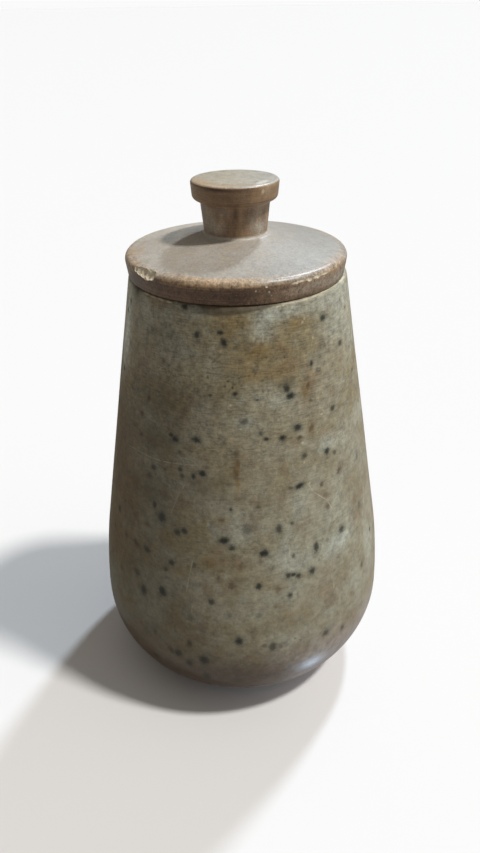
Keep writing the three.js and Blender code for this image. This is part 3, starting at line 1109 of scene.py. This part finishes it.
# %% Brown stone: faces, edges, and stored wear with a painted highlight
side_angle = mm.math("ARCTAN2", x, y * -1)
ragged = (streaks - 0.5) * 1.8 + (small - 0.5) * 0.9
over_edge = (level + ragged).step(5.8, 6.8) * level.step(DOME_EDGE + 0.7, DOME_EDGE)
over_cap = (level + ragged * 0.3).step(29.2, 29.55)
up_face = (over_edge + over_cap).clamp()
near_edge = mm.vector("SUBTRACT", turned_place, (*ROUNDED_EDGE, 0)).length().step(2.5, 1.2)
combed = side_angle.step(-0.7, -0.4) * side_angle.step(0.3, 0) + side_angle.step(1.6, 2.2)
tan, dust_and_light, umber = mm.stored("stains_and_light").parts()
fresh = mm.stored("fresh", "Fac")
wear_and_highlight, _ = spots(mm, wear_and_highlight_marks, 1.0, 0.5, 0.3, 1.2)
mm.tell("faces, edges and wear")

# %% Brown stone: brown sides
side = (middle * 0.5 + lines * 0.5).step(0.38, 0.62).mix(SIDE_DARK, SIDE_BROWN)
upright = mm.noise(2, 3, 0.6, stretch=(1, 1, 4), seed=8.8)
on_band = level.step(BAND_FOOT - 0.4, BAND_FOOT + 0.4)
knob = (upright + (lines - upright) * on_band * 0.6).step(0.3, 0.65).mix(KNOB_DARK, KNOB_BROWN)
# Paler brown on the rim's front right, where light falls: partly paler stone, partly painted sheen
side = (side_angle.step(-0.05, 0.35) * side_angle.step(1.2, 0.8) * 0.65).mix(side, SIDE_PALE)
side = level.step(DOME_EDGE, 14).mix(side, knob)
mm.tell("sides")

# %% Brown stone: pale tops, with painted light, shade and sheen
top = (middle * 0.6 + small * 0.4).step(0.42, 0.62).mix(DUST, DUST_WARM)
# Cooler on the dome's right: partly painted sheen
top = (x.step(0, 26) * 0.7).mix(top, COOL_DUST_AND_SHEEN)
# Painted shade and light on the dome's top: darker to the right and the front, lighter at the back
# left, in the knob's shadow
lit_back = y.step(0, 20) * x.step(12, -10) * 0.18
top = top.shaded(1 - level.step(14, 12) * (x.step(-8, 26) * 0.16 + y.step(-14, -32) * 0.13 - lit_back))
streak = mm.noise(1.6, 4, 0.7, stretch=(2.2, 1, 1), seed=14.5)
cap_tone = (streak.step(0.47, 0.66) * 0.6).mix(x.step(-6, 12).mix(CAP_DUST, CAP_COOL), CAP_WORN)
top = (over_cap * 0.8).mix(top, cap_tone)
tone = up_face.mix(side, top)
mm.tell("tops")

# %% Brown stone: rounded edge, stain clouds and painted light
comb = (streaks * 1.1 + fine * 0.5).step(0.55, 1.05)
tone = (near_edge * (combed * 0.42 + 0.2)).mix(tone, EDGE_TAN)
tone = (near_edge * combed * comb * 0.38).mix(tone, EDGE_PALE)
tone = (near_edge * combed * (1 - comb).step(0.55, 1) * 0.25).mix(tone, SIDE_DARK)
# Tan stain, and painted light on the right of the band and neck
tone = (tan * (streaks * 0.5 + fine * 0.5 + 0.3)).mix(tone, EDGE_TAN)
# Pale dust, and painted light on the right and in the knob's shadow
tone = (dust_and_light * (small * 0.7 + fine * 0.6 + 0.2)).mix(tone, DUST_AND_LIGHT_COLOUR)
# Umber stain, and a thin line of painted shade under the cap's band
tone = (umber * (small * 0.7 + 0.5) * (1 - up_face)).mix(tone, UMBER_COLOUR)
ring = level.step(12.7, 12.95) * level.step(13.7, 13.2) * radius.step(12.4, 11.4)
tone = (ring * 0.8).mix(tone, DUST_AND_LIGHT_COLOUR)
mm.tell("edge and stains")

# %% Brown stone: pits, wear, a painted highlight and fresh stone
coarse = mm.noise(1.1, 3, 0.7, seed=11.3)
rubbed_side = side_angle.step(-0.2, 0.2) * side_angle.step(1.0, 0.6) * level.step(7.5, 6.5)
tone = ((fine * 0.6 + coarse * 0.6).step(0.64, 0.8) * rubbed_side * 0.5).mix(tone, EDGE_TAN)
pits = (coarse + fine + small - 1.5) * level.step(8.5, 7) * 1.1
shade = (small - 0.5) * 0.55 + (fine - 0.5) * 0.9 + (coarse - 0.5) * 0.4 + 1
shade = shade + (lines - 0.5) * (1 - up_face * 0.75) * 0.8 + pits
tone = tone.shaded(shade)
# Rubbed pale stone, and on the cap's top a painted highlight
wear_and_highlight_tone = level.step(CAP_EDGE_ROUND - 0.2, CAP_EDGE_ROUND + 0.2).mix(CREAM, CAP_HIGHLIGHT_COLOUR)
tone = (wear_and_highlight * (fine * 0.7 + 0.75)).mix(tone, wear_and_highlight_tone)
fresh_tone = (small * 0.9 + fine * 0.9 - 0.75).mix(FRESH, EDGE_TAN)
tone = fresh.mix(tone, fresh_tone)
mm.tell("pits and wear")

# %% Brown stone: gloss and relief
gloss = 0.44 + (fine - 0.5) * 0.2 + (small - 0.5) * 0.16 - near_edge * 0.07
gloss = gloss - level.step(27.5, 28.5) * 0.1 + (fresh * 0.3).most(wear_and_highlight * 0.2)
height = lines * (1 - up_face * 0.7) * 0.07 + fine * 0.05 + small * 0.05
polish(lid_stone, tone, gloss, height, strength=0.6)

# %% [markdown]
# The studio. The knob's shadow on the lid shows two lights, both high on the right: a cool one a
# little behind and a warm one at the side. A third, very wide one stands for a wall on the right, and
# a faint one from below for the table's gloss on the foot, so the floor casts no shadow. The camera
# sees a paler floor and sky than those that light the pot.

# %% Floor
FLOOR_REACH = 60
floor_shape = bmesh.new()
bmesh.ops.create_circle(floor_shape, cap_ends=True, segments=64, radius=FLOOR_REACH)
floor_mesh = bpy.data.meshes.new("floor")
floor_shape.to_mesh(floor_mesh)
floor_shape.free()
floor = placed("floor", floor_mesh)
floor_paint = bpy.data.materials.new("floor_paint")
floor_paint.use_nodes = True
floor_mesh.materials.append(floor_paint)
floor_wire = Wire(floor_paint.node_tree)
to_eye = floor_wire.node("ShaderNodeLightPath", output="Is Camera Ray")
mirrored = to_eye.out("Is Glossy Ray")
FLOOR_PALE = (0.66, 0.65, 0.645, 1)
FLOOR_MIRRORED = (0.3, 0.29, 0.27, 1)
FLOOR_BOUNCE = (0.22, 0.2, 0.175, 1)
paint = to_eye.mix(mirrored.mix(FLOOR_BOUNCE, FLOOR_MIRRORED), FLOOR_PALE)
join(floor_paint, {"Base Color": paint, "Roughness": 0.9, "Specular IOR Level": 0.1})
floor.visible_shadow = False
print(f"floor: {FLOOR_REACH} m round, casts no shadow")


# %% Lights
def sun(name, side, height, strength, width, tint):
    """A sun, in degrees: side from the right towards the back, height above the floor, width."""
    light = bpy.data.lights.new(name, "SUN")
    light.energy = strength
    light.angle = math.radians(width)
    light.color = tint
    tilt = math.radians(90 - height)
    placed(name, light).rotation_euler = (0, tilt, math.radians(side))


sun("cool_light", 59, 47, 2.0, 5, (0.76, 0.88, 1.0))
sun("warm_light", -14, 60, 2.8, 6, (1.0, 0.98, 0.95))
sun("wall_light", -8, 14, 0.6, 70, (0.86, 0.94, 1.0))
sun("table_gloss", 5, -65, 0.22, 5, (0.62, 0.8, 1.0))
print("lights:", sorted(light.name for light in bpy.data.lights))

# %% Room
AMBIENT = (1, 0.93, 0.84)
HORIZON = 0.09
ZENITH = 0.4  # added straight above, less with the square of the height
SEEN = (0.96, 0.96, 0.96, 1)
world = bpy.data.worlds.new("room")
bpy.context.scene.world = world
world.use_nodes = True
room = Wire(world.node_tree)
_, _, rise = room.node("ShaderNodeTexCoord").parts()
rise = rise.most(0.0)
sky = room.vector("SCALE", AMBIENT, scale=HORIZON + rise * rise * ZENITH)
to_eye = room.node("ShaderNodeLightPath", output="Is Camera Ray")
background = world.node_tree.nodes["Background"]
world.node_tree.links.new(to_eye.mix(sky, SEEN).socket, background.inputs["Color"])
bpy.context.scene.view_settings.view_transform = "Standard"
bpy.context.scene.view_settings.look = "None"
room.tell("room")
